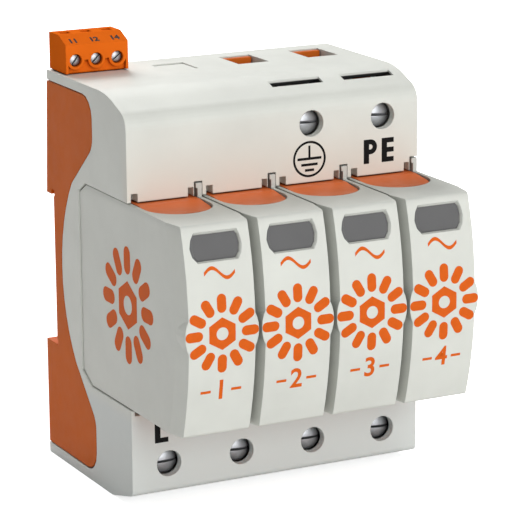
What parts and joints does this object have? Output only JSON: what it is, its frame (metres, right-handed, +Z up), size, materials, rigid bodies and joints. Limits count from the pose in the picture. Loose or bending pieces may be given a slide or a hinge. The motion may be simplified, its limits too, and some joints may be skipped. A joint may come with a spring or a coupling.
{
  "type": "DIN rail surge arrester",
  "caption": "Rail-mounted surge arrester: a grey base with screw terminals, plug-in protection modules with status windows, and an orange remote signalling plug.",
  "frame": {"origin": "centre of the rail seat, the flat back face that lies on the rail, midway along the width", "axes": "+Y into the rail, so the front faces -Y; +X along the rail, to the right seen from the front; +Z up"},
  "size_m": [0.072, 0.0749, 0.1004],
  "materials": {
    "grey_shell": "fine matt texture, light grey",
    "orange_moulding": "satin orange",
    "orange_plug": "semi-gloss orange",
    "grey_window": "smooth dark grey",
    "red_flag": "matt red",
    "zinc_steel": "zinc plated",
    "tinned_copper": null,
    "coated_block": "dipped coating, dark blue",
    "black_moulding": "matt black",
    "circuit_board": "green lacquer"
  },
  "bodies": {
    "base": {"base_housing": "grey_shell", "rear_foot": "orange_moulding", "earth_busbar": "tinned_copper", "lower_contact_1": "tinned_copper", "lower_contact_2": "tinned_copper", "lower_contact_3": "tinned_copper", "lower_contact_4": "tinned_copper", "signal_board": "circuit_board", "signal_header": "black_moulding", "signal_switch": "black_moulding", "latch_spring": "zinc_steel"},
    "module_1": {"shell_1": "grey_shell", "carrier_1": "orange_moulding", "window_1": "grey_window", "block_1": "coated_block", "upper_blade_1": "tinned_copper", "lower_blade_1": "tinned_copper"},
    "status_flag_1": {"flag_1": "red_flag"},
    "module_2": {"shell_2": "grey_shell", "carrier_2": "orange_moulding", "window_2": "grey_window", "block_2": "coated_block", "upper_blade_2": "tinned_copper", "lower_blade_2": "tinned_copper"},
    "status_flag_2": {"flag_2": "red_flag"},
    "module_3": {"shell_3": "grey_shell", "carrier_3": "orange_moulding", "window_3": "grey_window", "block_3": "coated_block", "upper_blade_3": "tinned_copper", "lower_blade_3": "tinned_copper"},
    "status_flag_3": {"flag_3": "red_flag"},
    "module_4": {"shell_4": "grey_shell", "carrier_4": "orange_moulding", "window_4": "grey_window", "block_4": "coated_block", "upper_blade_4": "tinned_copper", "lower_blade_4": "tinned_copper"},
    "status_flag_4": {"flag_4": "red_flag"},
    "screw_1": {"terminal_screw_1": "zinc_steel"},
    "cage_1": {"terminal_cage_1": "zinc_steel"},
    "screw_2": {"terminal_screw_2": "zinc_steel"},
    "cage_2": {"terminal_cage_2": "zinc_steel"},
    "screw_3": {"terminal_screw_3": "zinc_steel"},
    "cage_3": {"terminal_cage_3": "zinc_steel"},
    "screw_4": {"terminal_screw_4": "zinc_steel"},
    "cage_4": {"terminal_cage_4": "zinc_steel"},
    "screw_5": {"terminal_screw_5": "zinc_steel"},
    "cage_5": {"terminal_cage_5": "zinc_steel"},
    "screw_6": {"terminal_screw_6": "zinc_steel"},
    "cage_6": {"terminal_cage_6": "zinc_steel"},
    "plug": {"signal_plug": "orange_plug"},
    "plug_screw_1": {"plug_screw_1": "zinc_steel"},
    "plug_clamp_1": {"plug_clamp_1": "tinned_copper"},
    "plug_screw_2": {"plug_screw_2": "zinc_steel"},
    "plug_clamp_2": {"plug_clamp_2": "tinned_copper"},
    "plug_screw_3": {"plug_screw_3": "zinc_steel"},
    "plug_clamp_3": {"plug_clamp_3": "tinned_copper"},
    "latch": {"rail_latch": "zinc_steel"},
    "rocker": {"signal_rocker": "black_moulding"}
  },
  "joints": [
    {"name": "module_1_pull", "type": "slide", "parent": "base", "child": "module_1", "axis": [0, -1, 0], "range_m": [0, 0.03]},
    {"name": "flag_1_rise", "type": "slide", "parent": "module_1", "child": "status_flag_1", "axis": [0, 0, 1], "range_m": [0, 0.0066]},
    {"name": "module_2_pull", "type": "slide", "parent": "base", "child": "module_2", "axis": [0, -1, 0], "range_m": [0, 0.03]},
    {"name": "flag_2_rise", "type": "slide", "parent": "module_2", "child": "status_flag_2", "axis": [0, 0, 1], "range_m": [0, 0.0066]},
    {"name": "module_3_pull", "type": "slide", "parent": "base", "child": "module_3", "axis": [0, -1, 0], "range_m": [0, 0.03]},
    {"name": "flag_3_rise", "type": "slide", "parent": "module_3", "child": "status_flag_3", "axis": [0, 0, 1], "range_m": [0, 0.0066]},
    {"name": "module_4_pull", "type": "slide", "parent": "base", "child": "module_4", "axis": [0, -1, 0], "range_m": [0, 0.03]},
    {"name": "flag_4_rise", "type": "slide", "parent": "module_4", "child": "status_flag_4", "axis": [0, 0, 1], "range_m": [0, 0.0066]},
    {"name": "screw_1_turn", "type": "hinge", "parent": "base", "child": "screw_1", "pos_m": [0.009, 0, 0.03705], "axis": [0, 1, 0], "range_deg": [0, 1800]},
    {"name": "cage_1_draw", "type": "slide", "parent": "base", "child": "cage_1", "axis": [0, -1, 0], "range_m": [0, 0.004]},
    {"name": "screw_2_turn", "type": "hinge", "parent": "base", "child": "screw_2", "pos_m": [0.027, 0, 0.03705], "axis": [0, 1, 0], "range_deg": [0, 1800]},
    {"name": "cage_2_draw", "type": "slide", "parent": "base", "child": "cage_2", "axis": [0, -1, 0], "range_m": [0, 0.004]},
    {"name": "screw_3_turn", "type": "hinge", "parent": "base", "child": "screw_3", "pos_m": [-0.027, 0, -0.0362], "axis": [0, 1, 0], "range_deg": [0, 1800]},
    {"name": "cage_3_draw", "type": "slide", "parent": "base", "child": "cage_3", "axis": [0, -1, 0], "range_m": [0, 0.004]},
    {"name": "screw_4_turn", "type": "hinge", "parent": "base", "child": "screw_4", "pos_m": [-0.009, 0, -0.0362], "axis": [0, 1, 0], "range_deg": [0, 1800]},
    {"name": "cage_4_draw", "type": "slide", "parent": "base", "child": "cage_4", "axis": [0, -1, 0], "range_m": [0, 0.004]},
    {"name": "screw_5_turn", "type": "hinge", "parent": "base", "child": "screw_5", "pos_m": [0.009, 0, -0.0362], "axis": [0, 1, 0], "range_deg": [0, 1800]},
    {"name": "cage_5_draw", "type": "slide", "parent": "base", "child": "cage_5", "axis": [0, -1, 0], "range_m": [0, 0.004]},
    {"name": "screw_6_turn", "type": "hinge", "parent": "base", "child": "screw_6", "pos_m": [0.027, 0, -0.0362], "axis": [0, 1, 0], "range_deg": [0, 1800]},
    {"name": "cage_6_draw", "type": "slide", "parent": "base", "child": "cage_6", "axis": [0, -1, 0], "range_m": [0, 0.004]},
    {"name": "plug_pull", "type": "slide", "parent": "base", "child": "plug", "axis": [0, 0, 1], "range_m": [0, 0.012]},
    {"name": "plug_screw_1_turn", "type": "hinge", "parent": "plug", "child": "plug_screw_1", "pos_m": [-0.03276, 0, 0.0496], "axis": [0, 1, 0], "range_deg": [0, 720]},
    {"name": "plug_clamp_1_draw", "type": "slide", "parent": "plug", "child": "plug_clamp_1", "axis": [0, -1, 0], "range_m": [0, 0.0008]},
    {"name": "plug_screw_2_turn", "type": "hinge", "parent": "plug", "child": "plug_screw_2", "pos_m": [-0.02768, 0, 0.0496], "axis": [0, 1, 0], "range_deg": [0, 720]},
    {"name": "plug_clamp_2_draw", "type": "slide", "parent": "plug", "child": "plug_clamp_2", "axis": [0, -1, 0], "range_m": [0, 0.0008]},
    {"name": "plug_screw_3_turn", "type": "hinge", "parent": "plug", "child": "plug_screw_3", "pos_m": [-0.0226, 0, 0.0496], "axis": [0, 1, 0], "range_deg": [0, 720]},
    {"name": "plug_clamp_3_draw", "type": "slide", "parent": "plug", "child": "plug_clamp_3", "axis": [0, -1, 0], "range_m": [0, 0.0008]},
    {"name": "latch_pull", "type": "slide", "parent": "base", "child": "latch", "axis": [0, 0, -1], "range_m": [0, 0.004], "stiffness_N_per_m": 500, "springref_m": -0.004, "deforming": ["latch_spring"]},
    {"name": "rocker_tip", "type": "hinge", "parent": "base", "child": "rocker", "pos_m": [0, -0.0086, -0.0035], "axis": [-1, 0, 0], "range_deg": [0, 6]}
  ],
  "couplings": [
    {"joint": "screw_1_turn", "follows": "cage_1_draw", "rad_per_m": 7850},
    {"joint": "screw_2_turn", "follows": "cage_2_draw", "rad_per_m": 7850},
    {"joint": "screw_3_turn", "follows": "cage_3_draw", "rad_per_m": 7850},
    {"joint": "screw_4_turn", "follows": "cage_4_draw", "rad_per_m": 7850},
    {"joint": "screw_5_turn", "follows": "cage_5_draw", "rad_per_m": 7850},
    {"joint": "screw_6_turn", "follows": "cage_6_draw", "rad_per_m": 7850},
    {"joint": "plug_screw_1_turn", "follows": "plug_clamp_1_draw", "rad_per_m": 15700},
    {"joint": "plug_screw_2_turn", "follows": "plug_clamp_2_draw", "rad_per_m": 15700},
    {"joint": "plug_screw_3_turn", "follows": "plug_clamp_3_draw", "rad_per_m": 15700}
  ]
}
